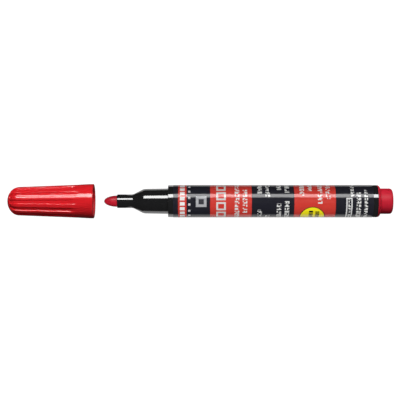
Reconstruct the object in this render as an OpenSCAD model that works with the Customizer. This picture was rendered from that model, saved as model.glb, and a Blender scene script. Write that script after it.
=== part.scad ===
// Marker pen with its cap pulled off, lying along X: the nib points to -X, the end plug to +X.
// The origin is on the pen's axis, halfway along the printed sleeve. Millimetres.

/* [Barrel] */
// Outer diameter of the bare tube
barrel_d = 14.24; // [13.4:0.02:16]
// Length of the tube
barrel_len = 92.7; // [85:0.1:120]
// Wall of the tube
barrel_wall = 1.02; // [0.8:0.02:1.2]
// Chamfer on the tube's outer edges
barrel_chamfer = 0.15; // [0.05:0.05:0.3]

/* [Printed sleeve] */
// Thickness of the film
label_film = 0.1; // [0.05:0.01:0.15]
// Length of the film along the barrel
label_len = 88.2; // [60:0.1:88.6]
// Bare tube left in front of the film
label_margin = 2.3; // [1:0.1:4]

/* [Nose] */
// Diameter of the nozzle that grips the nib
nozzle_d = 6.0; // [5.8:0.05:6.4]
// Length of the nozzle
nozzle_len = 7.1; // [5:0.1:9]
// Edge radius at the nozzle's mouth
nozzle_edge = 0.3; // [0.1:0.05:0.3]
// Length of the cone between the nozzle and the cap seat
cone_len = 4.8; // [3:0.1:6]
// Diameter of the cap seat beside the cone
seat_front_d = 10.9; // [10:0.05:11]
// Diameter of the cap seat beside the barrel
seat_rear_d = 11.26; // [11.1:0.02:11.3]
// Length of the cap seat
seat_len = 10.8; // [8:0.1:11]
// Length of the spigot inside the barrel
spigot_len = 8; // [5:0.5:10]

/* [Nib] */
// Diameter of the fibre rod
nib_d = 5.0; // [4.5:0.05:5.1]
// Length of nib that stands out of the nozzle
nib_out = 5.8; // [4:0.1:7]
// Length of the bullet-shaped end
nib_round = 5.7; // [4:0.1:6]
// Whole length of the nib
nib_len = 41; // [38:0.5:50]

/* [End plug] */
// Diameter of the stub, close to the cap seat's so that the cap can be parked on it
plug_d = 11.3; // [10.5:0.05:11.4]
// Length of the stub behind the shoulder
plug_len = 5.5; // [4:0.1:8]
// Edge radius at the stub's end
plug_edge = 1.2; // [0.5:0.1:1.5]
// Length of the rounded shoulder behind the barrel
shoulder_len = 1.3; // [0.8:0.1:2]

/* [Cap] */
// Length of the cap
cap_len = 38.5; // [37:0.1:45]
// Diameter at the mouth
cap_mouth_d = 15.3; // [15:0.05:16]
// Diameter where the flutes have run out
cap_collar_d = 14.78; // [14.6:0.02:15]
// Diameter where the body meets the dome
cap_tip_d = 12.72; // [12.4:0.02:13.2]
// Length of the dome
dome_len = 5.3; // [3:0.1:6]
// Wall at the mouth
cap_wall = 1.2; // [1:0.05:1.4]
// Distance that the cap travels from here to its seat
cap_travel = 33; // [32:0.5:60]

/* [Flutes] */
// Number of flutes round the cap
flute_count = 12; // [8:1:14]
// Depth of a flute
flute_depth = 0.55; // [0.3:0.05:0.7]
// Width of a flute's flat floor
flute_floor = 1.5; // [0.8:0.05:1.6]
// Steepness of a flute's walls
flute_wall = 70; // [50:1:80]
// Where a flute starts on the dome: 0 at the tip, 90 at the dome's foot
flute_start = 35; // [30:1:60]
// Distance from the mouth to the full depth of a flute
flute_full = 11.5; // [9:0.1:14]
// Distance from the mouth to a flute's end
flute_end = 6.4; // [3:0.1:7]
// Angle of the first flute round the axis
flute_turn = 3; // [0:1:30]

/* [Fits] */
// Radial clearance of the inner cap on the nozzle
seal_gap = 0.05; // [0.02:0.01:0.1]
// Radial clearance of the cap's ribs on the seat
rib_gap = 0.08; // [0.05:0.01:0.15]

/* [Hidden] */
$fn = 120;

// stations along the pen
front_x = -label_len / 2 - label_margin;
rear_x = front_x + barrel_len;
seat_x = front_x - seat_len;
cone_x = seat_x - cone_len;
nozzle_x = cone_x - nozzle_len;
nib_x = nozzle_x - nib_out;
mouth_x = front_x - cap_travel;
tip_x = mouth_x - cap_len;

// inside of the barrel
bore_r = barrel_d / 2 - barrel_wall;
reservoir_r = bore_r - 0.25;
wrap_film = 0.1;
tail_gap = 0.06;
reservoir_front = front_x + spigot_len + 0.4;
reservoir_rear = rear_x - spigot_len - 0.4;

// the flutes' cutter
cutter_h = 1.3;
cutter_lead = 0.4;

// inside of the cap, as depths from its mouth
rib_count = 6;
rib_w = 0.8;
rib_start = 0.8;
rib_depth = 11;
rib_root = 0.35;
neck_depth = 18;
neck_r = 4.35;
inner_depth = 16;
fin_w = 0.6;
fin_len = 9;
inner_bore = nozzle_d / 2 + seal_gap;
inner_wall = 0.85;
nib_room = 1.5;
inner_end = seat_len + cone_len + nozzle_len + nib_out + nib_room;
throat_r = seat_front_d / 2 + 0.12;

module along_pen() rotate([0, 90, 0]) children();

// one turned piece: each point is [radius, station along the pen]
module turned(points) along_pen() rotate_extrude() polygon(points);

// a quarter ellipse from the axis side out to the full radius
function dome_points(x, length, r, steps = 12) =
    [for (i = [0 : steps]) let (a = 90 * i / steps) [r * sin(a), x + length * (1 - cos(a))]];

// radius of the cap between its dome and its mouth
function cap_r(x) =
    let (dome_x = tip_x + dome_len, collar_x = mouth_x - flute_end)
    x < collar_x
    ? cap_tip_d / 2 + (cap_collar_d - cap_tip_d) / 2 * (x - dome_x) / (collar_x - dome_x)
    : cap_collar_d / 2 + (cap_mouth_d - cap_collar_d) / 2 * (x - collar_x) / flute_end;

// point at a depth under the dome, as [radius, station]; the angle is 0 at the tip
function under_dome(a, depth) =
    let (out = [2 * sin(a) / cap_tip_d, -cos(a) / dome_len])
    [cap_tip_d / 2 * sin(a), tip_x + dome_len * (1 - cos(a))] - depth * out / norm(out);

// a straight cutter whose floor runs between two [radius, station] points and starts early by lead
module groove(from, to, lead) {
    tilt = atan2(to[0] - from[0], to[1] - from[1]);
    side = flute_floor / 2 + cutter_h / tan(flute_wall);
    translate([from[0], 0, from[1]]) rotate([0, tilt, 0]) translate([0, 0, -lead])
        linear_extrude(height = norm(to - from) + lead) polygon([
            [0, -flute_floor / 2], [0, flute_floor / 2], [cutter_h, side], [cutter_h, -side]
        ]);
}

module flute() {
    full = [cap_r(mouth_x - flute_full) - flute_depth, mouth_x - flute_full];
    out = [cap_r(mouth_x - flute_end), mouth_x - flute_end];
    floor_line = [
        under_dome(flute_start, 0),
        under_dome((flute_start + 90) / 2, flute_depth),
        under_dome(90, flute_depth),
        full
    ];
    for (i = [1 : len(floor_line) - 1]) groove(floor_line[i - 1], floor_line[i], cutter_lead);
    groove(full, out, 0);
}

module cap_outside() difference() {
    turned(concat(dome_points(tip_x, dome_len, cap_tip_d / 2), [
        [cap_collar_d / 2, mouth_x - flute_end],
        [cap_mouth_d / 2, mouth_x - 0.2],
        [cap_mouth_d / 2 - 0.2, mouth_x],
        [0, mouth_x]
    ]));
    along_pen() for (i = [0 : flute_count - 1]) rotate([0, 0, flute_turn + 360 / flute_count * i]) flute();
}

module cap_hollow() turned(concat(dome_points(tip_x + 1.3, 2.4, neck_r - 0.15, 8), [
    [neck_r, mouth_x - neck_depth],
    [throat_r, mouth_x - rib_depth],
    [cap_mouth_d / 2 - cap_wall, mouth_x + 0.01],
    [0, mouth_x + 0.01]
]));

// ribs inside the mouth that guide the cap on its seat, rooted in the wall
module cap_ribs() intersection() {
    turned([
        [seat_front_d / 2 + rib_gap, mouth_x - rib_depth + 0.2],
        [throat_r + rib_root, mouth_x - rib_depth + 0.2],
        [cap_mouth_d / 2 - cap_wall + rib_root, mouth_x - rib_start],
        [seat_rear_d / 2 + rib_gap + 0.5, mouth_x - rib_start],
        [seat_rear_d / 2 + rib_gap, mouth_x - rib_start - 0.6]
    ]);
    along_pen() for (i = [0 : rib_count - 1]) rotate([0, 0, 360 / rib_count * i])
        translate([0, -rib_w / 2, mouth_x - rib_depth]) cube([cap_mouth_d / 2, rib_w, rib_depth]);
}

module cap() color("#d2262c") {
    difference() {
        cap_outside();
        cap_hollow();
    }
    cap_ribs();
}

// sealing cup: its lip sits in the cap's taper and its bore closes on the nozzle
module inner_cap() color("#e9e4dc") {
    lip_x = mouth_x - inner_depth;
    end_x = mouth_x - inner_end;
    lip_r = throat_r + (neck_r - throat_r) * (inner_depth - rib_depth) / (neck_depth - rib_depth);
    turned([
        [0, end_x - inner_wall],
        [inner_bore + inner_wall - 0.4, end_x - inner_wall],
        [inner_bore + inner_wall, end_x - inner_wall + 0.4],
        [inner_bore + inner_wall, mouth_x - neck_depth - 0.6],
        [neck_r - 0.04, mouth_x - neck_depth],
        [lip_r - 0.03, lip_x],
        [inner_bore + 0.7, lip_x],
        [inner_bore, lip_x - 0.8],
        [inner_bore, end_x],
        [0, end_x]
    ]);
    // fins that centre the cup in the shell
    along_pen() for (i = [0 : rib_count - 1]) rotate([0, 0, 360 / rib_count * (i + 0.5)])
        translate([inner_bore + 0.4, -fin_w / 2, end_x])
            cube([neck_r - 0.12 - inner_bore - 0.4, fin_w, fin_len]);
}

// the same dome facing the plug end, from the full radius in to the axis
function tail_points(x, length, r) =
    let (p = dome_points(-x, length, r)) [for (i = [len(p) - 1 : -1 : 0]) [p[i][0], -p[i][1]]];

// fibre rod, bullet-shaped at both ends
module nib() color("#a81e2a") turned(concat(
    dome_points(nib_x, nib_round, nib_d / 2),
    tail_points(nib_x + nib_len, nib_round, nib_d / 2)
));

module nib_holder() color("#17171a") difference() {
    union() {
        turned([
            [0, nozzle_x],
            [nozzle_d / 2 - nozzle_edge, nozzle_x],
            [nozzle_d / 2 - 0.3 * nozzle_edge, nozzle_x + 0.3 * nozzle_edge],
            [nozzle_d / 2, nozzle_x + nozzle_edge],
            [nozzle_d / 2, cone_x],
            [seat_front_d / 2, seat_x],
            [seat_rear_d / 2, front_x],
            [bore_r - 0.05, front_x],
            [bore_r - 0.05, front_x + spigot_len - 0.5],
            [bore_r - 0.5, front_x + spigot_len],
            [0, front_x + spigot_len]
        ]);
        for (x = [2, 5]) along_pen() translate([0, 0, front_x + x]) cylinder(h = 1, r = bore_r);
    }
    along_pen() translate([0, 0, nozzle_x - 1]) cylinder(h = 60, d = nib_d);
    // vent channels beside the nib
    along_pen() for (i = [0 : 3]) rotate([0, 0, 45 + 90 * i])
        translate([nib_d / 2, 0, nozzle_x - 1]) cylinder(h = 20, r = 0.25);
    // hollow behind the cone
    turned([
        [0, seat_x + 1.5],
        [nib_d / 2, seat_x + 1.5],
        [seat_rear_d / 2 - 1.3, seat_x + 4],
        [seat_rear_d / 2 - 1.1, front_x + spigot_len + 1],
        [0, front_x + spigot_len + 1]
    ]);
}

module barrel() color("#1c1c1e") turned([
    [bore_r, front_x],
    [barrel_d / 2 - barrel_chamfer, front_x],
    [barrel_d / 2, front_x + barrel_chamfer],
    [barrel_d / 2, rear_x - barrel_chamfer],
    [barrel_d / 2 - barrel_chamfer, rear_x],
    [bore_r, rear_x]
]);

module label() color("#232329") along_pen() difference() {
    translate([0, 0, -label_len / 2]) cylinder(h = label_len, r = barrel_d / 2 + label_film);
    translate([0, 0, -label_len / 2 - 1]) cylinder(h = label_len + 2, d = barrel_d);
}

module ink_reservoir() color("#b0404a") difference() {
    along_pen() translate([0, 0, reservoir_front])
        cylinder(h = reservoir_rear - reservoir_front, r = reservoir_r);
    // hole that the nib's tail has opened in the fibres
    turned(concat(
        [[0, reservoir_front - 1], [nib_d / 2 + tail_gap, reservoir_front - 1]],
        tail_points(nib_x + nib_len + tail_gap, nib_round, nib_d / 2 + tail_gap)
    ));
}

module reservoir_wrap() color("#d8d8d0") turned([
    [reservoir_r, reservoir_front],
    [reservoir_r + wrap_film, reservoir_front],
    [reservoir_r + wrap_film, reservoir_rear],
    [reservoir_r, reservoir_rear]
]);

module end_plug() color("#c02232") {
    stub_x = rear_x + shoulder_len;
    end_x = stub_x + plug_len;
    cup_r = bore_r - 1.2;
    difference() {
        union() {
            turned([
                [0, rear_x - spigot_len],
                [bore_r - 0.5, rear_x - spigot_len],
                [bore_r - 0.05, rear_x - spigot_len + 0.5],
                [bore_r - 0.05, rear_x],
                [0, rear_x]
            ]);
            for (x = [3, 6]) along_pen() translate([0, 0, rear_x - x]) cylinder(h = 1, r = bore_r);
            turned(concat([[0, rear_x]], [
                for (i = [0 : 6]) let (a = 15 * i)
                    [plug_d / 2 + (barrel_d - plug_d) / 2 * cos(a), rear_x + shoulder_len * sin(a)]
            ], [
                for (i = [0 : 6]) let (a = 15 * i)
                    [plug_d / 2 - plug_edge * (1 - cos(a)), end_x - plug_edge * (1 - sin(a))]
            ], [[0, end_x]]));
        }
        along_pen() translate([0, 0, rear_x - spigot_len - 1])
            cylinder(h = spigot_len + 1 + shoulder_len + plug_len - 1.4, r = cup_r);
    }
    // crossed fins that stop the ink rod
    along_pen() for (i = [0, 1]) rotate([0, 0, 45 + 90 * i])
        translate([-cup_r - 0.2, -0.4, rear_x - spigot_len + 0.2])
            cube([2 * cup_r + 0.4, 0.8, spigot_len + shoulder_len + 1]);
}

cap();
inner_cap();
nib();
nib_holder();
barrel();
label();
ink_reservoir();
reservoir_wrap();
end_plug();
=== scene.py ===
import math

import bpy
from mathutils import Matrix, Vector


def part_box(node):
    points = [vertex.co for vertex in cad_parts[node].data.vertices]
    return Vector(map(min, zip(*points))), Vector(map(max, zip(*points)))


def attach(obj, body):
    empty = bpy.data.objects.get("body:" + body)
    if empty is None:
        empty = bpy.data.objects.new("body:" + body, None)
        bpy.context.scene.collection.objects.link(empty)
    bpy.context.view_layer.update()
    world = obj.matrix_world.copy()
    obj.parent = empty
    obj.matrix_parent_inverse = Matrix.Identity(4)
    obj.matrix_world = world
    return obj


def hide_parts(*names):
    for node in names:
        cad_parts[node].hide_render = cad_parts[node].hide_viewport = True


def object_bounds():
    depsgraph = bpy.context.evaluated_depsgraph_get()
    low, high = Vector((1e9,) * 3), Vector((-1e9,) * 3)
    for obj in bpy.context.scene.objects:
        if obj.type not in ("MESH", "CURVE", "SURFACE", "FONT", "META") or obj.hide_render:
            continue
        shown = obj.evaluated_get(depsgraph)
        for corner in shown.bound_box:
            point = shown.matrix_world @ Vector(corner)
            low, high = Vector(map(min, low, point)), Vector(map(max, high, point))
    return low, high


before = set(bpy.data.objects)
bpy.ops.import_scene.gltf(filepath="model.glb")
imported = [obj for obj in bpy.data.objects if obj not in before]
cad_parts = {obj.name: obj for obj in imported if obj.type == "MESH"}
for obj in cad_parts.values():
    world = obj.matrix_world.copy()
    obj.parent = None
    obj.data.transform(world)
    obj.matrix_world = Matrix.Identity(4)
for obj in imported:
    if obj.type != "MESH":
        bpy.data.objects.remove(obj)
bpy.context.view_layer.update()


# ---- Barrel -------------------------------------------------------------------------------
# A length of extruded black polypropylene tube, cut square at both ends, whose bore takes the
# spigots of the nose and of the end plug. The knife leaves a fine broken edge at each end.
# Sizes here and in all the pieces are in mm, along the pen from the barrel's middle.

MM = 0.001
WELD = 0.002
TUBE_SIDES = 128
TUBE_WALL = 1.02
CUT_EDGE = 0.18
BORE_EDGE = 0.1


def pick(piece, keep, mode="VERT"):
    """Selects the vertices, edges or faces of a piece whose corners (in mm) all pass the test."""
    bpy.ops.object.mode_set(mode="EDIT")
    bpy.ops.mesh.select_mode(type=mode)
    bpy.ops.mesh.select_all(action="DESELECT")
    bpy.ops.object.mode_set(mode="OBJECT")
    mesh = piece.data
    kept = [keep(v.co / MM) for v in mesh.vertices]
    if mode == "VERT":
        mesh.vertices.foreach_set("select", kept)
    else:
        for item in mesh.edges if mode == "EDGE" else mesh.polygons:
            item.select = all(kept[i] for i in item.vertices)
    bpy.ops.object.mode_set(mode="EDIT")


def radius_of(co):
    return math.hypot(co.y, co.z)


def near(a, b, within=0.01):
    return abs(a - b) < within


def draw_out(path):
    """Draws the selected ring out through the next [station, radius] points of a wall."""
    for (x0, r0), (x1, r1) in zip(path, path[1:]):
        bpy.ops.mesh.extrude_region_move(TRANSFORM_OT_translate={"value": ((x1 - x0) * MM, 0, 0)})
        bpy.ops.transform.resize(value=(1, r1 / r0, r1 / r0), center_override=(x1 * MM, 0, 0))


def weld():
    """Merges the points of the piece in edit mode that lie on each other."""
    bpy.ops.mesh.select_mode(type="VERT")
    bpy.ops.mesh.select_all(action="SELECT")
    bpy.ops.mesh.remove_doubles(threshold=WELD * MM)


def turned(name, sides, path):
    """A turned piece on the pen's axis, from a ring drawn out along its wall."""
    bpy.ops.object.select_all(action="DESELECT")
    x, r = path[0]
    bpy.ops.mesh.primitive_circle_add(
        vertices=sides, radius=r * MM, location=(x * MM, 0, 0), rotation=(0, math.pi / 2, 0))
    piece = bpy.context.object
    piece.name = name
    bpy.ops.object.transform_apply(location=True, rotation=True, scale=True)
    bpy.ops.object.mode_set(mode="EDIT")
    bpy.ops.mesh.select_mode(type="VERT")
    bpy.ops.mesh.select_all(action="SELECT")
    draw_out(path)
    if near(math.dist(path[0], path[-1]), 0):
        weld()
    return piece


def close_end(piece, x, r, pole):
    """Closes the ring at station x and radius r with a fan that meets on the axis at pole."""
    pick(piece, lambda co: near(co.x, x) and near(radius_of(co), r))
    bpy.ops.mesh.extrude_region()
    bpy.ops.mesh.merge(type="CENTER")
    bpy.ops.transform.translate(value=((pole - x) * MM, 0, 0))


def round_edge(piece, x, r, size, steps=3):
    """Rounds the edge that runs round the piece at station x and radius r."""
    pick(piece, lambda co: near(co.x, x) and near(radius_of(co), r), "EDGE")
    bpy.ops.mesh.bevel(offset=size * MM, segments=steps, affect="EDGES")


def finished(piece, body, material, replaced, angle=40):
    """Merges seams, turns the faces outwards, smooths them, and fixes the piece to its body.
    A hollow piece can come out with all its faces inwards, and its outermost face tells."""
    bpy.ops.object.mode_set(mode="EDIT")
    weld()
    bpy.ops.mesh.normals_make_consistent(inside=False)
    bpy.ops.object.mode_set(mode="OBJECT")
    outermost = max(piece.data.polygons, key=lambda face: radius_of(face.center))
    if outermost.normal.y * outermost.center.y + outermost.normal.z * outermost.center.z < 0:
        bpy.ops.object.mode_set(mode="EDIT")
        bpy.ops.mesh.flip_normals()
        bpy.ops.object.mode_set(mode="OBJECT")
    bpy.ops.object.shade_smooth_by_angle(angle=math.radians(angle))
    piece.data.materials.clear()
    piece.data.materials.append(material)
    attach(piece, body)
    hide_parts(replaced)


def reach_of(name):
    """A CAD node's lowest and highest stations, and its outer radius."""
    low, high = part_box(name)
    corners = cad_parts[name].data.vertices
    return low.x / MM, high.x / MM, max(radius_of(v.co) for v in corners) / MM


def colour(hex_code):
    """A linear RGBA colour from an sRGB hex code."""
    levels = [int(hex_code[i:i + 2], 16) / 255 for i in (1, 3, 5)]
    return [v / 12.92 if v <= 0.04045 else ((v + 0.055) / 1.055) ** 2.4 for v in levels] + [1]


def per(size):
    """The scale of a pattern from its real size in mm."""
    return 1 / (size * MM)


def feed(tree, node, inputs):
    """Sets a node's inputs to values, or links them from a socket or a node's first output."""
    for socket, source in inputs.items():
        if isinstance(source, bpy.types.Node):
            source = source.outputs[0]
        if isinstance(source, bpy.types.NodeSocket):
            tree.links.new(source, node.inputs[socket])
        else:
            node.inputs[socket].default_value = source


def add(tree, kind, inputs=None, **settings):
    """Adds a node with its settings, its inputs' values and its links."""
    node = tree.nodes.new(kind)
    for key, value in settings.items():
        setattr(node, key, value)
    feed(tree, node, inputs or {})
    return node


def new_material(name, values):
    """A material with a Principled shader whose sockets hold the given values."""
    material = bpy.data.materials.new(name)
    material.use_nodes = True
    tree = material.node_tree
    shader = tree.nodes["Principled BSDF"]
    feed(tree, shader, values)
    return material, tree, shader


def extruded_black_polypropylene():
    """Polished by the die: glossy, with faint lines along the tube, 0.4 mm apart, and dull
    handling marks of some 4 mm."""
    material, tree, shader = new_material("extruded_black_polypropylene", {"IOR": 1.49})
    place = add(tree, "ShaderNodeTexCoord").outputs["Object"]
    along = add(tree, "ShaderNodeMapping", {"Vector": place, "Scale": (per(50), per(0.4), per(0.4))})
    lines = add(tree, "ShaderNodeTexNoise", {"Vector": along, "Scale": 1, "Detail": 2})
    marks = add(tree, "ShaderNodeTexNoise", {"Vector": place, "Scale": per(3.8), "Detail": 5})
    rough = add(tree, "ShaderNodeMapRange",
                {"Value": marks, "From Min": 0.35, "From Max": 0.75, "To Min": 0.06, "To Max": 0.12})
    tone = add(tree, "ShaderNodeMix", {"Factor": marks, "A": colour("#1A1A1B"), "B": colour("#1F1F20")},
               data_type="RGBA")
    bump = add(tree, "ShaderNodeBump", {"Height": lines, "Strength": 0.1, "Distance": 0.01 * MM})
    feed(tree, shader, {"Base Color": tone.outputs["Result"], "Roughness": rough, "Normal": bump})
    return material


tube_front, tube_rear, tube_r = reach_of("barrel")
bore_r = tube_r - TUBE_WALL
barrel = turned("barrel_tube", TUBE_SIDES, [
    [tube_front, bore_r], [tube_front, tube_r], [tube_rear, tube_r], [tube_rear, bore_r],
    [tube_front, bore_r]])
for end in (tube_front, tube_rear):
    round_edge(barrel, end, tube_r, CUT_EDGE)
    round_edge(barrel, end, bore_r, BORE_EDGE)
finished(barrel, "pen", extruded_black_polypropylene(), "barrel")


# ---- Printed sleeve -----------------------------------------------------------------------
# A thin plastic film, printed flat in black, red, yellow and white, then wrapped once round
# the tube and heat-set. Its last few millimetres lie over its first, on the underside.

OVERLAP = 4.0
OVERLAP_LIFT = 0.06
sleeve_front, sleeve_rear, sleeve_r = reach_of("label")

# the print: each place is from and to along the pen, then from and to round it from the top line
RED_BANDS = [(-41.9, -38.2), (-27.8, -9.5), (9.2, 27.4)]
SMALL_PRINT = [
    (-17.0, -15.0, -17, 17), (-13.5, -11.5, -6, 5.5),
    (-7.0, -5.0, 3, 17), (-7.0, -5.0, -9, -4), (-3.5, -1.5, 1.5, 16), (-3.5, -1.5, -14, -7.5),
    (1.5, 3.5, 5.5, 16), (1.5, 3.5, -13, -1), (5.0, 7.0, 4, 15), (5.0, 7.0, -14, 0),
    (11.5, 13.5, 2.5, 14), (15.0, 17.0, 4.5, 15), (19.5, 21.5, -1.5, 16), (23.0, 25.0, 1, 13),
    (32.9, 33.9, -10.2, 0.8), (34.0, 35.5, 2, 14), (36.5, 38.5, -12, 4), (40.0, 41.5, -12, 5.5)]
STROKE = 0.5
STROKES_INKED = 0.7
LETTER_PITCH = 1.5
LETTER_GAP = 0.4
OUTLINED_ROW = (-25.1, -20.9)
OUTLINED_PITCH = 4.6
OUTLINED_HALF = 1.9
OUTLINED_LINE = 0.8
STRIPE_ROW = (-41.1, -39.0)
STRIPE_PITCH = 2.3
STRIPE_HALF = 0.8
DOT_ROW = (-37.5, -36.5)
DOT_PITCH = 3.0
DOT_HALF = 0.5
BADGE = (-34.1, -29.4, -2.6, 2.1)
BADGE_LINE = 1.2
DISC_CENTRE = (17.3, -8.1, 0)
DISC_R = 5.6
DISC_RIM = 0.35
DISC_BARS = [(15.7, 17.5, -11.7, -4.5), (18.5, 20.3, -11.3, -4.9)]
REAR_BAR = (32.0, 34.7, -11.0, 1.5)
REAR_LINE = 0.5


def arc_of(co):
    """Distance round the sleeve from its top line, positive towards +Y."""
    return math.atan2(co.y, co.z) * sleeve_r


def inset(place, line):
    """A printed place made smaller by a line's width on each side."""
    x0, x1, s0, s1 = place
    return x0 + line, x1 - line, s0 + line, s1 - line


def satin_printed_film():
    """Ink under a satin film: a soft, even sheen about half as bright as the bare tube's, with a
    faint mottle of 1 mm. Every mark is plain, and none is a letter or a sign."""
    material, tree, shader = new_material(
        "satin_printed_film", {"IOR": 1.45, "Specular IOR Level": 0.2})
    place = add(tree, "ShaderNodeTexCoord").outputs["Object"]
    axes = add(tree, "ShaderNodeSeparateXYZ", {"Vector": place})
    along = add(tree, "ShaderNodeMath", {0: axes.outputs["X"], 1: 1 / MM}, operation="MULTIPLY")
    turn = add(tree, "ShaderNodeMath", {0: axes.outputs["Y"], 1: axes.outputs["Z"]}, operation="ARCTAN2")
    around = add(tree, "ShaderNodeMath", {0: turn, 1: sleeve_r}, operation="MULTIPLY")
    flat = add(tree, "ShaderNodeCombineXYZ", {"X": along, "Y": around})
    half_round = math.pi * sleeve_r + 1

    def block(x0, x1, s0=-half_round, s1=half_round):
        """1 inside a printed rectangle, which without s0 and s1 goes all round."""
        in_length = add(tree, "ShaderNodeMath", {0: along, 1: (x0 + x1) / 2, 2: (x1 - x0) / 2},
                        operation="COMPARE")
        in_width = add(tree, "ShaderNodeMath", {0: around, 1: (s0 + s1) / 2, 2: (s1 - s0) / 2},
                       operation="COMPARE")
        return add(tree, "ShaderNodeMath", {0: in_length, 1: in_width}, operation="MULTIPLY")

    def row(x0, x1, pitch, half):
        """1 inside the blocks of a row that goes all round, one block to a pitch."""
        step = add(tree, "ShaderNodeMath", {0: around, 1: pitch}, operation="FLOORED_MODULO")
        in_block = add(tree, "ShaderNodeMath", {0: step, 1: pitch / 2, 2: half}, operation="COMPARE")
        return add(tree, "ShaderNodeMath", {0: block(x0, x1), 1: in_block}, operation="MULTIPLY")

    def any_of(masks):
        """1 where any of the masks is."""
        total = masks[0]
        for mask in masks[1:]:
            total = add(tree, "ShaderNodeMath", {0: total, 1: mask}, operation="MAXIMUM")
        return total

    # marks that stand for small print: random strokes on a grid, in groups with a gap between
    grid = add(tree, "ShaderNodeVectorMath", {0: flat, 1: (STROKE, STROKE, STROKE)}, operation="DIVIDE")
    cell = add(tree, "ShaderNodeVectorMath", {0: grid}, operation="FLOOR")
    scatter = add(tree, "ShaderNodeTexWhiteNoise", {"Vector": cell}, noise_dimensions="2D")
    inked = add(tree, "ShaderNodeMath", {0: scatter.outputs["Value"], 1: STROKES_INKED},
                operation="LESS_THAN")
    step = add(tree, "ShaderNodeMath", {0: around, 1: LETTER_PITCH}, operation="FLOORED_MODULO")
    in_letter = add(tree, "ShaderNodeMath", {0: step, 1: LETTER_GAP}, operation="GREATER_THAN")
    strokes = add(tree, "ShaderNodeMath", {0: inked, 1: in_letter}, operation="MULTIPLY")
    lines = any_of([block(*size) for size in SMALL_PRINT])
    small_print = add(tree, "ShaderNodeMath", {0: lines, 1: strokes}, operation="MULTIPLY")

    # bold outlined blocks in the wide red band
    row_shape = row(*OUTLINED_ROW, OUTLINED_PITCH, OUTLINED_HALF)
    row_hole = row(OUTLINED_ROW[0] + OUTLINED_LINE, OUTLINED_ROW[1] - OUTLINED_LINE,
                   OUTLINED_PITCH, OUTLINED_HALF - OUTLINED_LINE)
    outlined = add(tree, "ShaderNodeMath", {0: row_shape, 1: row_hole}, operation="SUBTRACT")

    # a disc with a thin rim and barred lines, and an outlined bar near the rear
    off = add(tree, "ShaderNodeVectorMath", {0: flat, 1: DISC_CENTRE}, operation="DISTANCE")
    off = off.outputs["Value"]
    rim = add(tree, "ShaderNodeMath", {0: off, 1: DISC_R}, operation="LESS_THAN")
    disc = add(tree, "ShaderNodeMath", {0: off, 1: DISC_R - DISC_RIM}, operation="LESS_THAN")
    disc_lines = any_of([block(*bar) for bar in DISC_BARS])
    barred = add(tree, "ShaderNodeMath", {0: disc_lines, 1: in_letter}, operation="MULTIPLY")
    rear_bar = add(tree, "ShaderNodeMath", {0: block(*REAR_BAR), 1: block(*inset(REAR_BAR, REAR_LINE))},
                   operation="SUBTRACT")

    # black film with red bands, and then one ink after another over it
    bands = any_of([block(x0, x1) for x0, x1 in RED_BANDS])
    grain = add(tree, "ShaderNodeTexNoise", {"Vector": place, "Scale": per(1.1), "Detail": 3})
    black = add(tree, "ShaderNodeMix", {"Factor": grain, "A": colour("#1F1F27"), "B": colour("#24242C")},
                data_type="RGBA")
    red = add(tree, "ShaderNodeMix", {"Factor": grain, "A": colour("#C63830"), "B": colour("#CC3E36")},
              data_type="RGBA")
    sheet = add(tree, "ShaderNodeMix",
                {"Factor": bands, "A": black.outputs["Result"], "B": red.outputs["Result"]},
                data_type="RGBA")
    for mask, ink in (
            (small_print, "#D8D8D6"),
            (outlined, "#D2D0CE"),
            (row(*STRIPE_ROW, STRIPE_PITCH, STRIPE_HALF), "#E8E6E4"),
            (row(*DOT_ROW, DOT_PITCH, DOT_HALF), "#C9C9CC"),
            (block(*BADGE), "#A9A9AD"),
            (block(*inset(BADGE, BADGE_LINE)), "#3A3A40"),
            (rim, "#1A1A1C"),
            (disc, "#F8E822"),
            (barred, "#1A1A1C"),
            (rear_bar, "#DADADA")):
        sheet = add(tree, "ShaderNodeMix", {"Factor": mask, "A": sheet.outputs["Result"], "B": colour(ink)},
                    data_type="RGBA")

    rough = add(tree, "ShaderNodeMapRange",
                {"Value": grain, "From Min": 0.3, "From Max": 0.7, "To Min": 0.1, "To Max": 0.15})
    bump = add(tree, "ShaderNodeBump", {"Height": grain, "Strength": 0.08, "Distance": 0.02 * MM})
    feed(tree, shader, {"Base Color": sheet.outputs["Result"], "Roughness": rough, "Normal": bump})
    return material


sleeve = turned("printed_sleeve", TUBE_SIDES, [
    [sleeve_front, tube_r], [sleeve_front, sleeve_r], [sleeve_rear, sleeve_r], [sleeve_rear, tube_r],
    [sleeve_front, tube_r]])
finished(sleeve, "pen", satin_printed_film(), "label")

# the lap is lifted off the finished film last, so that its low step stays softly shaded
pick(sleeve, lambda co: near(radius_of(co), sleeve_r)
     and abs(arc_of(co)) > math.pi * sleeve_r - OVERLAP, "FACE")
bpy.ops.mesh.extrude_region_move()
grow = 1 + OVERLAP_LIFT / sleeve_r
bpy.ops.transform.resize(value=(1, grow, grow), center_override=(0, 0, 0))
bpy.ops.object.mode_set(mode="OBJECT")


# ---- Nose ---------------------------------------------------------------------------------
# One black polypropylene moulding: a nozzle that grips the nib, a cone, the seat that the cap
# closes on, and a ribbed spigot pressed into the tube. Four fine channels beside the nib let air in.

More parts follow.
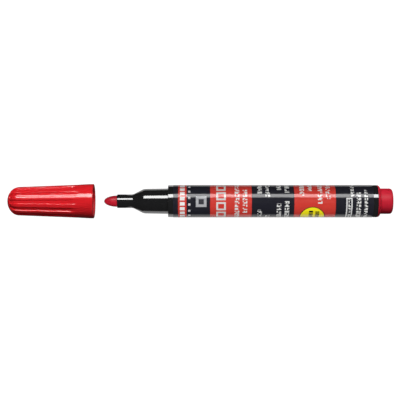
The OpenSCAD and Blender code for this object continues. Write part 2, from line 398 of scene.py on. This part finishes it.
NOSE_SIDES = 96
NOZZLE_LEN = 7.1
NOZZLE_R = 3.0
NOZZLE_EDGE = 0.3
CONE_LEN = 4.8
CONE_EDGE = 0.8
SEAT_LEN = 10.8
SEAT_FRONT_R = 5.45
SEAT_REAR_R = 5.63
SPIGOT_GAP = 0.05
SPIGOT_LEAD = 0.5
SPIGOT_CHAMFER = 0.45
BEAD_W = 1.0
BEAD_SLOPE = 0.2
BEADS_AT = (2, 5)
HOLLOW_REAR_R = 4.53
HOLLOW_FRONT_R = 4.33
HOLLOW_SLOPE = (1.5, 4)
NIB_BORE_R = 2.5
VENTS = 4
VENT_FULL = 2
VENT_DEPTH = 0.25
VENT_HALF = math.radians(4)


def moulded_black_polypropylene():
    """From a polished mould: glossy, with a faint orange-peel ripple of 1.4 mm, and rub rings
    0.3 mm apart where the cap slides."""
    material, tree, shader = new_material("moulded_black_polypropylene", {"IOR": 1.49})
    place = add(tree, "ShaderNodeTexCoord").outputs["Object"]
    ripple = add(tree, "ShaderNodeTexNoise", {"Vector": place, "Scale": per(1.4), "Detail": 2})
    rubbed = add(tree, "ShaderNodeMapping", {"Vector": place, "Scale": (per(0.29), per(6.7), per(6.7))})
    rings = add(tree, "ShaderNodeTexNoise", {"Vector": rubbed, "Scale": 1, "Detail": 3})
    rough = add(tree, "ShaderNodeMapRange",
                {"Value": rings, "From Min": 0.45, "From Max": 0.8, "To Min": 0.05, "To Max": 0.075})
    tone = add(tree, "ShaderNodeMix", {"Factor": ripple, "A": colour("#171718"), "B": colour("#1D1D1E")},
               data_type="RGBA")
    bump = add(tree, "ShaderNodeBump", {"Height": ripple, "Strength": 0.05, "Distance": 0.01 * MM})
    feed(tree, shader, {"Base Color": tone.outputs["Result"], "Roughness": rough, "Normal": bump})
    return material


def bead(x):
    """The wall of a raised ring on a spigot, from station x, which grips the tube's bore."""
    return [[x, spigot_r], [x + BEAD_SLOPE, bore_r], [x + BEAD_W - BEAD_SLOPE, bore_r],
            [x + BEAD_W, spigot_r]]


nozzle_front, spigot_rear, _ = reach_of("nib_holder")
cone_front = nozzle_front + NOZZLE_LEN
seat_front = cone_front + CONE_LEN
seat_rear = seat_front + SEAT_LEN
spigot_r = bore_r - SPIGOT_GAP
nose = turned("nose_moulding", NOSE_SIDES, [
    [nozzle_front, NIB_BORE_R], [nozzle_front, NOZZLE_R], [cone_front, NOZZLE_R],
    [seat_front, SEAT_FRONT_R], [seat_rear, SEAT_REAR_R], [seat_rear, spigot_r],
    *bead(seat_rear + BEADS_AT[0]), *bead(seat_rear + BEADS_AT[1]),
    [spigot_rear - SPIGOT_LEAD, spigot_r], [spigot_rear, spigot_r - SPIGOT_CHAMFER],
    [spigot_rear, HOLLOW_REAR_R], [seat_front + HOLLOW_SLOPE[1], HOLLOW_FRONT_R],
    [seat_front + HOLLOW_SLOPE[0], NIB_BORE_R], [nozzle_front + VENT_FULL, NIB_BORE_R],
    [nozzle_front, NIB_BORE_R]])
# the channels keep their full depth in the nozzle's first millimetres, and then run out
for vent in range(VENTS):
    mid = math.pi / 4 + 2 * math.pi * vent / VENTS
    pick(nose, lambda co: near(radius_of(co), NIB_BORE_R) and co.x < cone_front
         and math.cos(math.atan2(co.z, co.y) - mid) > math.cos(VENT_HALF))
    widen = 1 + VENT_DEPTH / NIB_BORE_R
    bpy.ops.transform.resize(value=(1, widen, widen), center_override=(0, 0, 0))
round_edge(nose, nozzle_front, NOZZLE_R, NOZZLE_EDGE, 4)
round_edge(nose, cone_front, NOZZLE_R, CONE_EDGE, 5)
round_edge(nose, seat_front, SEAT_FRONT_R, CONE_EDGE, 5)
finished(nose, "pen", moulded_black_polypropylene(), "nib_holder")


# ---- Nib ----------------------------------------------------------------------------------
# A rod of polyester fibres bonded side by side and ground to a bullet at both ends. It is
# pushed through the nozzle until its tail stands in the ink rod, and the ink has stained it.

NIB_SIDES = 64
NIB_STEPS = 14
NIB_ROUND = 5.7
NIB_SQUEEZE = 0.01


def bonded_nib_fibre():
    """Fibres along the rod, drawn at 0.2 mm so that they show, and blots of 2 mm where the ink
    stands: matt, damp, darker between the fibres."""
    material, tree, shader = new_material(
        "bonded_nib_fibre", {"IOR": 1.42, "Roughness": 0.3, "Specular IOR Level": 0.12})
    place = add(tree, "ShaderNodeTexCoord").outputs["Object"]
    along = add(tree, "ShaderNodeMapping", {"Vector": place, "Scale": (per(2.9), per(0.2), per(0.2))})
    fibres = add(tree, "ShaderNodeTexNoise", {"Vector": along, "Scale": 1, "Detail": 4, "Roughness": 0.6})
    blots = add(tree, "ShaderNodeTexNoise", {"Vector": place, "Scale": per(2), "Detail": 3})
    mixed = add(tree, "ShaderNodeMath", {0: blots, 1: 0.35, 2: fibres}, operation="MULTIPLY_ADD")
    tone = add(tree, "ShaderNodeValToRGB", {"Fac": mixed})
    dark, light = tone.color_ramp.elements
    dark.position = 0.45
    dark.color = colour("#A21624")
    light.position = 0.85
    light.color = colour("#CC2436")
    bump = add(tree, "ShaderNodeBump", {"Height": fibres, "Strength": 0.3, "Distance": 0.04 * MM})
    feed(tree, shader, {"Base Color": tone, "Normal": bump})
    return material


def bullet(tip, length, r, steps):
    """Stations of a quarter ellipse from just behind its tip to its full radius."""
    turns = [math.radians(90 * (i + 1) / steps) for i in range(steps)]
    return [[tip + length * (1 - math.cos(a)), r * math.sin(a)] for a in turns]


nib_tip, nib_tail, _ = reach_of("nib")
front = bullet(nib_tip, NIB_ROUND, NIB_BORE_R - NIB_SQUEEZE, NIB_STEPS)
back = [[nib_tip + nib_tail - x, r] for x, r in reversed(front)]
nib = turned("fibre_nib", NIB_SIDES, front + back)
close_end(nib, *front[0], nib_tip)
close_end(nib, *back[-1], nib_tail)
finished(nib, "pen", bonded_nib_fibre(), "nib")


# ---- End plug -----------------------------------------------------------------------------
# A red polypropylene moulding that closes the tube: a rounded shoulder as wide as the tube, a
# stub that the cap can be parked on, and a hollow spigot pressed in. Its gate mark is at the end.

PLUG_SIDES = 96
SHOULDER = 1.3
SHOULDER_STEPS = 8
STUB_R = 5.65
STUB_EDGE = 1.2
END_WALL = 1.4
PLUG_WALL = 1.2
PLUG_GATE = [(0, 0.9), (0.15, 0.75), (0.15, 0.3), (0.05, 0.22)]
FIN_W = 0.8
FIN_SINK = 0.2
FIN_FOOT = 1.2
FIN_EDGE = 0.15


def satin_red_polypropylene():
    """From a finely eroded mould: an even satin red with a grain of 0.2 mm, and flow marks of
    6 mm that only a low light shows."""
    material, tree, shader = new_material(
        "satin_red_polypropylene", {"IOR": 1.49, "Specular IOR Level": 0.06})
    place = add(tree, "ShaderNodeTexCoord").outputs["Object"]
    grain = add(tree, "ShaderNodeTexNoise", {"Vector": place, "Scale": per(0.2), "Detail": 2})
    flow = add(tree, "ShaderNodeTexNoise", {"Vector": place, "Scale": per(6.3), "Detail": 3})
    tone = add(tree, "ShaderNodeMix", {"Factor": flow, "A": colour("#BC1C2E"), "B": colour("#C62236")},
               data_type="RGBA")
    rough = add(tree, "ShaderNodeMapRange",
                {"Value": flow, "From Min": 0.3, "From Max": 0.7, "To Min": 0.44, "To Max": 0.56})
    bump = add(tree, "ShaderNodeBump", {"Height": grain, "Strength": 0.25, "Distance": 0.03 * MM})
    feed(tree, shader, {"Base Color": tone.outputs["Result"], "Roughness": rough, "Normal": bump})
    return material


def fins(owner, count, first, width, front, rear):
    """Straight fins round the axis, joined to a piece; each end is [station, from radius, to radius]."""
    bpy.ops.object.mode_set(mode="OBJECT")
    (x0, low0, high0), (x1, low1, high1) = front, rear
    for i in range(count):
        bpy.ops.object.select_all(action="DESELECT")
        bpy.ops.mesh.primitive_plane_add(size=1, location=(x0 * MM, 0, (low0 + high0) / 2 * MM),
                                         rotation=(0, math.pi / 2, 0))
        bpy.ops.transform.resize(value=(1, width * MM, (high0 - low0) * MM))
        bpy.ops.object.transform_apply(location=True, rotation=True, scale=True)
        bpy.ops.object.mode_set(mode="EDIT")
        bpy.ops.mesh.select_all(action="SELECT")
        shift = (low1 + high1 - low0 - high0) / 2
        bpy.ops.mesh.extrude_region_move(
            TRANSFORM_OT_translate={"value": ((x1 - x0) * MM, 0, shift * MM)})
        bpy.ops.transform.resize(value=(1, 1, (high1 - low1) / (high0 - low0)),
                                 center_override=(x1 * MM, 0, (low1 + high1) / 2 * MM))
        bpy.ops.mesh.select_all(action="SELECT")
        bpy.ops.mesh.bevel(offset=width * FIN_EDGE * MM, segments=2, affect="EDGES")
        bpy.ops.mesh.select_all(action="SELECT")
        bpy.ops.transform.rotate(value=first + 2 * math.pi * i / count, orient_axis="X",
                                 center_override=(0, 0, 0))
        bpy.ops.object.mode_set(mode="OBJECT")
        owner.select_set(True)
        bpy.context.view_layer.objects.active = owner
        bpy.ops.object.join()


plug_front, plug_rear, _ = reach_of("end_plug")
floor_x = plug_rear - END_WALL
hollow_r = bore_r - PLUG_WALL
shoulder = [[tube_rear + SHOULDER * math.sin(a), STUB_R + (tube_r - STUB_R) * math.cos(a)]
            for a in (math.radians(90 * i / SHOULDER_STEPS) for i in range(SHOULDER_STEPS + 1))]
dimple = [[plug_rear - depth, r] for depth, r in PLUG_GATE]
plug = turned("end_plug_moulding", PLUG_SIDES, [
    [floor_x, hollow_r], [plug_front, hollow_r], [plug_front, spigot_r - SPIGOT_CHAMFER],
    [plug_front + SPIGOT_LEAD, spigot_r], *bead(tube_rear - BEADS_AT[1] - BEAD_W),
    *bead(tube_rear - BEADS_AT[0] - BEAD_W), [tube_rear, spigot_r], *shoulder, [plug_rear, STUB_R],
    *dimple])
close_end(plug, *dimple[-1], dimple[-1][0])
close_end(plug, floor_x, hollow_r, floor_x)
round_edge(plug, plug_rear, STUB_R, STUB_EDGE, 6)
fin_reach = hollow_r + FIN_SINK
fins(plug, 2, math.pi / 4, FIN_W, [plug_front + FIN_SINK, -fin_reach, fin_reach],
     [tube_rear + SHOULDER + FIN_FOOT, -fin_reach, fin_reach])
finished(plug, "pen", satin_red_polypropylene(), "end_plug")


# ---- Ink rod and its skin -----------------------------------------------------------------
# A bundle of crimped polyester fibre soaked with ink, in a skin of thin clear film. It lies in
# the tube between the nose and the plug, and nothing of it shows while the pen is whole.

def soaked_fibre_bundle():
    """Coarse fibres along the rod, in strands of 0.3 mm, unevenly stained."""
    material, tree, shader = new_material("soaked_fibre_bundle", {"Roughness": 0.75})
    place = add(tree, "ShaderNodeTexCoord").outputs["Object"]
    along = add(tree, "ShaderNodeMapping", {"Vector": place, "Scale": (per(8.3), per(0.33), per(0.33))})
    fibres = add(tree, "ShaderNodeTexNoise", {"Vector": along, "Scale": 1, "Detail": 5})
    tone = add(tree, "ShaderNodeMix", {"Factor": fibres, "A": colour("#8E1B28"), "B": colour("#C9606A")},
               data_type="RGBA")
    bump = add(tree, "ShaderNodeBump", {"Height": fibres, "Strength": 0.6, "Distance": 0.1 * MM})
    feed(tree, shader, {"Base Color": tone.outputs["Result"], "Normal": bump})
    return material


def clear_film():
    """Thin polypropylene film: clear, pale, with creases along the rod 1.7 mm apart."""
    material, tree, shader = new_material("clear_film", {"IOR": 1.49, "Roughness": 0.2, "Alpha": 0.45})
    place = add(tree, "ShaderNodeTexCoord").outputs["Object"]
    along = add(tree, "ShaderNodeMapping", {"Vector": place, "Scale": (per(17), per(1.7), per(1.7))})
    creases = add(tree, "ShaderNodeTexNoise", {"Vector": along, "Scale": 1, "Detail": 2})
    tone = add(tree, "ShaderNodeMix", {"Factor": creases, "A": colour("#DADAD2"), "B": colour("#E6E6E0")},
               data_type="RGBA")
    bump = add(tree, "ShaderNodeBump", {"Height": creases, "Strength": 0.3, "Distance": 0.1 * MM})
    feed(tree, shader, {"Base Color": tone.outputs["Result"], "Normal": bump})
    return material


for name, material in (("ink_reservoir", soaked_fibre_bundle()), ("reservoir_wrap", clear_film())):
    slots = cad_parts[name].data.materials
    slots.clear()
    slots.append(material)


# ---- Cap ----------------------------------------------------------------------------------
# One red polypropylene moulding, polished outside. Twelve flat-bottomed flutes give it grip: they
# start on the domed end and run out before the collar. Six ribs inside guide it on the nose's seat.

CAP_SIDES = 720
CAP_SMOOTH_ANGLE = 60
CAP_WALL = 1.2
DOME_LEN = 5.3
DOME_R = 6.36
DOME_STEPS = 22
RUN_STEPS = 4
RUN_OUT_STEPS = 6
COLLAR_R = 7.39
COLLAR_EDGE = 2
COLLAR_SWELL = 0.04
MOUTH_EDGE = 0.3
MOUTH_INNER_EDGE = 0.25
CAP_GATE = [(0.2, 0.3), (0.2, 0.6), (0.06, 0.8)]
FLUTES = 12
FLUTE_DEPTH = 0.55
FLUTE_FLOOR = 1.5
FLUTE_WALL = math.tan(math.radians(70))
FLUTE_R = 6.9
FLUTE_START = 33
FLUTE_RUN_IN = 10
FLUTE_FULL = 11.5
FLUTE_END = 6.4
FLUTE_TURN = math.radians(93)
CREST_EDGE = 0.45
FLOOR_EDGE = 0.06
THROAT_DEPTH = 11
THROAT_GAP = 0.12
THROAT_DRAFT = 0.06
NECK_DEPTH = 18
NECK_R = 4.35
TIP_WALL = 1.3
CORE_LEN = 2.4
CORE_R = 4.2
CORE_STEPS = 8
CORE_MARGIN = 0.05
CREST_MARGIN = 0.1
BORE_MARGIN = 0.04
RIBS = 6
RIB_W = 0.8
RIB_START = 0.8
RIB_GAP = 0.08
RIB_ROOT = 0.4
RIB_SINK = 0.2


def moulded_red_polypropylene(name, smooth, dull, gloss):
    """Deep red with a faint ripple of 3 mm, dulled in patches of 11 mm by handling. A polished
    mould gives it gloss, an eroded one leaves it dull."""
    material, tree, shader = new_material(name, {"IOR": 1.49, "Specular IOR Level": gloss})
    place = add(tree, "ShaderNodeTexCoord").outputs["Object"]
    ripple = add(tree, "ShaderNodeTexNoise", {"Vector": place, "Scale": per(3.3), "Detail": 2})
    marks = add(tree, "ShaderNodeTexNoise", {"Vector": place, "Scale": per(11), "Detail": 5})
    tone = add(tree, "ShaderNodeMix", {"Factor": ripple, "A": colour("#D21B22"), "B": colour("#DA2129")},
               data_type="RGBA")
    rough = add(tree, "ShaderNodeMapRange",
                {"Value": marks, "From Min": 0.4, "From Max": 0.75, "To Min": smooth, "To Max": dull})
    bump = add(tree, "ShaderNodeBump", {"Height": ripple, "Strength": 0.02, "Distance": 0.01 * MM})
    feed(tree, shader, {"Base Color": tone.outputs["Result"], "Roughness": rough, "Normal": bump})
    return material


cap_tip, cap_mouth, cap_mouth_r = reach_of("cap")
dome_x = cap_tip + DOME_LEN
flute_full_x = cap_mouth - FLUTE_FULL
flute_end_x = cap_mouth - FLUTE_END
mouth_bore_r = cap_mouth_r - CAP_WALL


def crest_r(x):
    """Radius of the taper on which the flutes' crests lie."""
    return DOME_R + (COLLAR_R - DOME_R) * (x - dome_x) / (flute_end_x - dome_x)


def softer_min(a, b, blend):
    """The smaller of two values, with the corner between them rounded off."""
    h = max(blend - abs(a - b), 0) / blend
    return min(a, b) - h * h * blend / 4


def flute_share(co):
    """How far a point of the cap's outside is pressed in, as a share of the flutes' depth."""
    pitch = 2 * math.pi / FLUTES
    turn = (math.atan2(co.z, co.y) - FLUTE_TURN + pitch / 2) % pitch - pitch / 2
    across = abs(turn) * FLUTE_R * min(radius_of(co) / DOME_R, 1)
    wall = FLUTE_DEPTH + (FLUTE_FLOOR / 2 - across) * FLUTE_WALL
    depth = -softer_min(0, -softer_min(FLUTE_DEPTH, wall, FLOOR_EDGE), CREST_EDGE)
    if co.x < dome_x:
        angle = math.degrees(math.asin(min(radius_of(co) / DOME_R, 1)))
        along = (angle - FLUTE_START) / FLUTE_RUN_IN
    else:
        along = (flute_end_x - co.x) / (flute_end_x - flute_full_x)
    return depth / FLUTE_DEPTH * min(max(along, 0), 1)


# the gate mark takes the place of the dome's first two rings
gate = [[cap_tip + depth, r] for depth, r in CAP_GATE]
dome = bullet(cap_tip, DOME_LEN, DOME_R, DOME_STEPS)[2:]
run = [dome_x + (flute_full_x - dome_x) * (i + 1) / RUN_STEPS for i in range(RUN_STEPS)]
run_out = [flute_full_x + (flute_end_x - flute_full_x) * (i + 1) / RUN_OUT_STEPS
           for i in range(RUN_OUT_STEPS)]
core_tip = cap_tip + TIP_WALL
core = bullet(core_tip, CORE_LEN, CORE_R, CORE_STEPS)
cap = turned("fluted_cap", CAP_SIDES, gate + dome + [[x, crest_r(x)] for x in run + run_out] + [
    [cap_mouth - COLLAR_EDGE, cap_mouth_r - COLLAR_SWELL], [cap_mouth, cap_mouth_r],
    [cap_mouth, mouth_bore_r], [cap_mouth - RIB_START, mouth_bore_r - THROAT_DRAFT],
    [cap_mouth - THROAT_DEPTH, SEAT_FRONT_R + THROAT_GAP], [cap_mouth - NECK_DEPTH, NECK_R],
    *reversed(core)])
close_end(cap, *gate[0], gate[0][0])
close_end(cap, *core[0], core_tip)
bpy.ops.mesh.select_all(action="SELECT")
bpy.ops.mesh.normals_make_consistent(inside=False)
bpy.ops.object.mode_set(mode="OBJECT")

# the flutes are pressed in along the surface's normals, by weights that only the outside has
pressed = cap.vertex_groups.new(name="flutes")
for v in cap.data.vertices:
    co = v.co / MM
    inner_r = NECK_R if co.x < dome_x else crest_r(co.x) - CREST_MARGIN
    if co.x < core_tip - CORE_MARGIN or inner_r < radius_of(co) and co.x < flute_end_x:
        pressed.add([v.index], flute_share(co), "REPLACE")
press = cap.modifiers.new("flutes", "DISPLACE")
press.vertex_group = "flutes"
press.mid_level = 0
press.strength = -FLUTE_DEPTH * MM
bpy.ops.object.modifier_apply(modifier="flutes")
round_edge(cap, cap_mouth, cap_mouth_r, MOUTH_EDGE, 4)
round_edge(cap, cap_mouth, mouth_bore_r, MOUTH_INNER_EDGE, 3)
fins(cap, RIBS, 0, RIB_W,
     [cap_mouth - THROAT_DEPTH, SEAT_FRONT_R + RIB_GAP, SEAT_FRONT_R + RIB_ROOT],
     [cap_mouth - RIB_START, SEAT_REAR_R + RIB_GAP, mouth_bore_r + RIB_SINK])
polished = moulded_red_polypropylene("moulded_red_polypropylene", 0.08, 0.11, 0.27)
finished(cap, "cap", polished, "cap", CAP_SMOOTH_ANGLE)
cap.data.materials.append(moulded_red_polypropylene("eroded_red_polypropylene", 0.55, 0.65, 0.15))
for face in cap.data.polygons:
    in_bore = [radius_of(cap.data.vertices[i].co) / MM < mouth_bore_r + BORE_MARGIN
               for i in face.vertices]
    if all(in_bore) and face.center.x / MM > cap_mouth - NECK_DEPTH:
        face.material_index = 1


# ---- Inner cap ----------------------------------------------------------------------------
# A soft cup of natural polyethylene pressed into the cap. Its bore closes on the nozzle and
# keeps the nib from drying out, and its lip wedges in the cap's taper.

CUP_SIDES = 96
CUP_WALL = 0.85
CUP_EDGE = 0.3
SEAL_GAP = 0.05
LIP_LEN = 2
LIP_RISE = 0.6
LIP_R = 4.31
LIP_LEAD_LEN = 0.8
LIP_LEAD = 0.7
CUP_FIN_W = 0.6
CUP_FIN_LEN = 9
CUP_FIN_ROOT = 0.4
CUP_FIN_GAP = 0.12


def natural_polyethylene():
    """Milky, waxy and slightly translucent, with a soft sheen and flow marks of 3 mm."""
    material, tree, shader = new_material(
        "natural_polyethylene", {"IOR": 1.51, "Subsurface Weight": 0.2, "Subsurface Scale": 2 * MM})
    place = add(tree, "ShaderNodeTexCoord").outputs["Object"]
    flow = add(tree, "ShaderNodeTexNoise", {"Vector": place, "Scale": per(3.3), "Detail": 3})
    tone = add(tree, "ShaderNodeMix", {"Factor": flow, "A": colour("#DDD8CE"), "B": colour("#E8E4DC")},
               data_type="RGBA")
    rough = add(tree, "ShaderNodeMapRange", {"Value": flow, "To Min": 0.35, "To Max": 0.5})
    feed(tree, shader, {"Base Color": tone.outputs["Result"], "Roughness": rough})
    return material


cup_end, cup_lip, cup_lip_r = reach_of("inner_cap")
cup_bore_r = NOZZLE_R + SEAL_GAP
cup_r = cup_bore_r + CUP_WALL
cup_floor = cup_end + CUP_WALL
cup = turned("inner_cap_cup", CUP_SIDES, [
    [cup_end, cup_r - CUP_EDGE], [cup_end + CUP_EDGE, cup_r], [cup_lip - LIP_LEN - LIP_RISE, cup_r],
    [cup_lip - LIP_LEN, LIP_R], [cup_lip, cup_lip_r], [cup_lip, cup_bore_r + LIP_LEAD],
    [cup_lip - LIP_LEAD_LEN, cup_bore_r], [cup_floor, cup_bore_r]])
close_end(cup, cup_end, cup_r - CUP_EDGE, cup_end)
close_end(cup, cup_floor, cup_bore_r, cup_floor)
fins(cup, RIBS, math.pi / RIBS, CUP_FIN_W,
     [cup_floor, cup_bore_r + CUP_FIN_ROOT, NECK_R - CUP_FIN_GAP],
     [cup_floor + CUP_FIN_LEN, cup_bore_r + CUP_FIN_ROOT, NECK_R - CUP_FIN_GAP])
finished(cup, "cap", natural_polyethylene(), "inner_cap")


# ---- Table, lights and camera -------------------------------------------------------------
# The pen lies on a white table and is seen from straight above. A strip light on its far side
# draws the lines of light. Two wide soft lights, one for the red mouldings and one for the black
# pieces and the sleeve, and a weak fill bring out the colours. Sizes here are in metres.

TABLE_SIZE = 8
UNDER_PEN = 0.00005
OVER_TABLE = 0.00002
REFLECTION_CARD_SIZE = (0.112, 0.064)
REFLECTION_CARD_PLACE = (-0.01, -0.013)
VIEW_WIDTH = 0.178
VIEW_HEIGHT = 0.512
VIEW_X = -0.03226
VIEW_Y = 0.00053
SENSOR = 36
LIGHT_DISTANCE = 0.9
LIGHT_LENGTH = 1.0
LIGHT_DEPTH = 2 * LIGHT_DISTANCE * math.tan(math.radians(24.5) / 2)
STRIP_TURN = math.radians(39.5)
STRIP_RADIANCE = 23
SIDE_KEY_TURN = math.radians(31)
SIDE_KEY_RADIANCE = 7.9
TOP_KEY_RADIANCE = 7.1
FILL_TURN = math.radians(4)
FILL_SIZE = 1.2
FILL_RADIANCE = 0.3

low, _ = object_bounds()
bpy.ops.mesh.primitive_plane_add(size=TABLE_SIZE, location=(0, 0, low.z - UNDER_PEN))
table = bpy.context.object
table.name = "table_top"
white_top, tree, shader = new_material(
    "white_table", {"Roughness": 0.9, "Emission Color": colour("#FFFFFF"), "Emission Strength": 0.97})
place = add(tree, "ShaderNodeTexCoord").outputs["Object"]
# the table's clouds are nearly 3 m wide, so that it looks even
cloudy = add(tree, "ShaderNodeTexNoise", {"Vector": place, "Scale": per(2700), "Detail": 2})
tone = add(tree, "ShaderNodeMix", {"Factor": cloudy, "A": colour("#585858"), "B": colour("#606060")},
           data_type="RGBA")
feed(tree, shader, {"Base Color": tone.outputs["Result"]})
table.data.materials.append(white_top)
table.visible_glossy = False
table.visible_diffuse = False

# a glowing card under the pen, which only reflections show: a painted reflection, brighter towards its long
# edges
bpy.ops.mesh.primitive_plane_add(size=1, location=(*REFLECTION_CARD_PLACE, low.z - UNDER_PEN + OVER_TABLE))
reflection_card = bpy.context.object
reflection_card.name = "glowing_reflection_card"
bpy.ops.transform.resize(value=(*REFLECTION_CARD_SIZE, 1))
painted_reflection_glow, tree, shader = new_material(
    "painted_reflection_glow", {"Roughness": 0.9, "Emission Color": colour("#FFFFFF")})
place = add(tree, "ShaderNodeNewGeometry").outputs["Position"]
axes = add(tree, "ShaderNodeSeparateXYZ", {"Vector": place})
aside = add(tree, "ShaderNodeMath", {0: axes.outputs["Y"]}, operation="ABSOLUTE")
# painted shadow of the pen in that reflection: the glow drops from 1.7 to 0.3 close to the pen's line
glow_with_painted_shadow = add(tree, "ShaderNodeMapRange",
            {"Value": aside, "From Min": 0.008, "From Max": 0.018, "To Min": 0.3, "To Max": 1.7})
feed(tree, shader, {"Emission Strength": glow_with_painted_shadow})
reflection_card.data.materials.append(painted_reflection_glow)
reflection_card.visible_camera = False
reflection_card.visible_diffuse = False
reflection_card.visible_shadow = False


def softbox(name, turn, length, depth, radiance, lit=()):
    """A rectangular light aimed at the pen from a turn above the view; lit limits what it falls on."""
    bpy.ops.object.light_add(type="AREA", rotation=(-turn, 0, 0), location=(
        VIEW_X, LIGHT_DISTANCE * math.sin(turn), LIGHT_DISTANCE * math.cos(turn)))
    light = bpy.context.object
    light.name = name
    light.data.shape = "RECTANGLE"
    light.data.size = length
    light.data.size_y = depth
    light.data.energy = radiance * math.pi * length * depth
    if lit:
        light.light_linking.receiver_collection = bpy.data.collections.new(name + "_falls_on")
        for piece in lit:
            light.light_linking.receiver_collection.objects.link(piece)
    return light


strip = softbox("strip_light", STRIP_TURN, LIGHT_LENGTH, LIGHT_DEPTH, STRIP_RADIANCE)
strip.visible_diffuse = False
side_key = softbox("side_key_light", SIDE_KEY_TURN, LIGHT_LENGTH, LIGHT_DEPTH, SIDE_KEY_RADIANCE,
                   [cap, cup, plug])
top_key = softbox("top_key_light", 0, LIGHT_LENGTH, LIGHT_DEPTH, TOP_KEY_RADIANCE,
                  [barrel, sleeve, nose, nib, table])
fill = softbox("overhead_fill", FILL_TURN, FILL_SIZE, FILL_SIZE, FILL_RADIANCE)
for light in (side_key, top_key, fill):
    light.visible_glossy = False

bpy.ops.object.camera_add(location=(VIEW_X, VIEW_Y, VIEW_HEIGHT), rotation=(0, 0, 0))
camera = bpy.context.object
camera.data.sensor_width = SENSOR
camera.data.lens = SENSOR * VIEW_HEIGHT / VIEW_WIDTH
camera.data.clip_start = 0.01
bpy.context.scene.camera = camera

# the studio's wall is white to the eye and dim as a light
world = bpy.data.worlds.new("studio")
bpy.context.scene.world = world
world.use_nodes = True
tree = world.node_tree
ray = add(tree, "ShaderNodeLightPath").outputs["Is Camera Ray"]
level = add(tree, "ShaderNodeMapRange", {"Value": ray, "To Min": 0.05, "To Max": 1.1})
feed(tree, tree.nodes["Background"], {"Color": colour("#FCFCFC"), "Strength": level})

view = bpy.context.scene.view_settings
view.view_transform = "Standard"
view.look = "None"
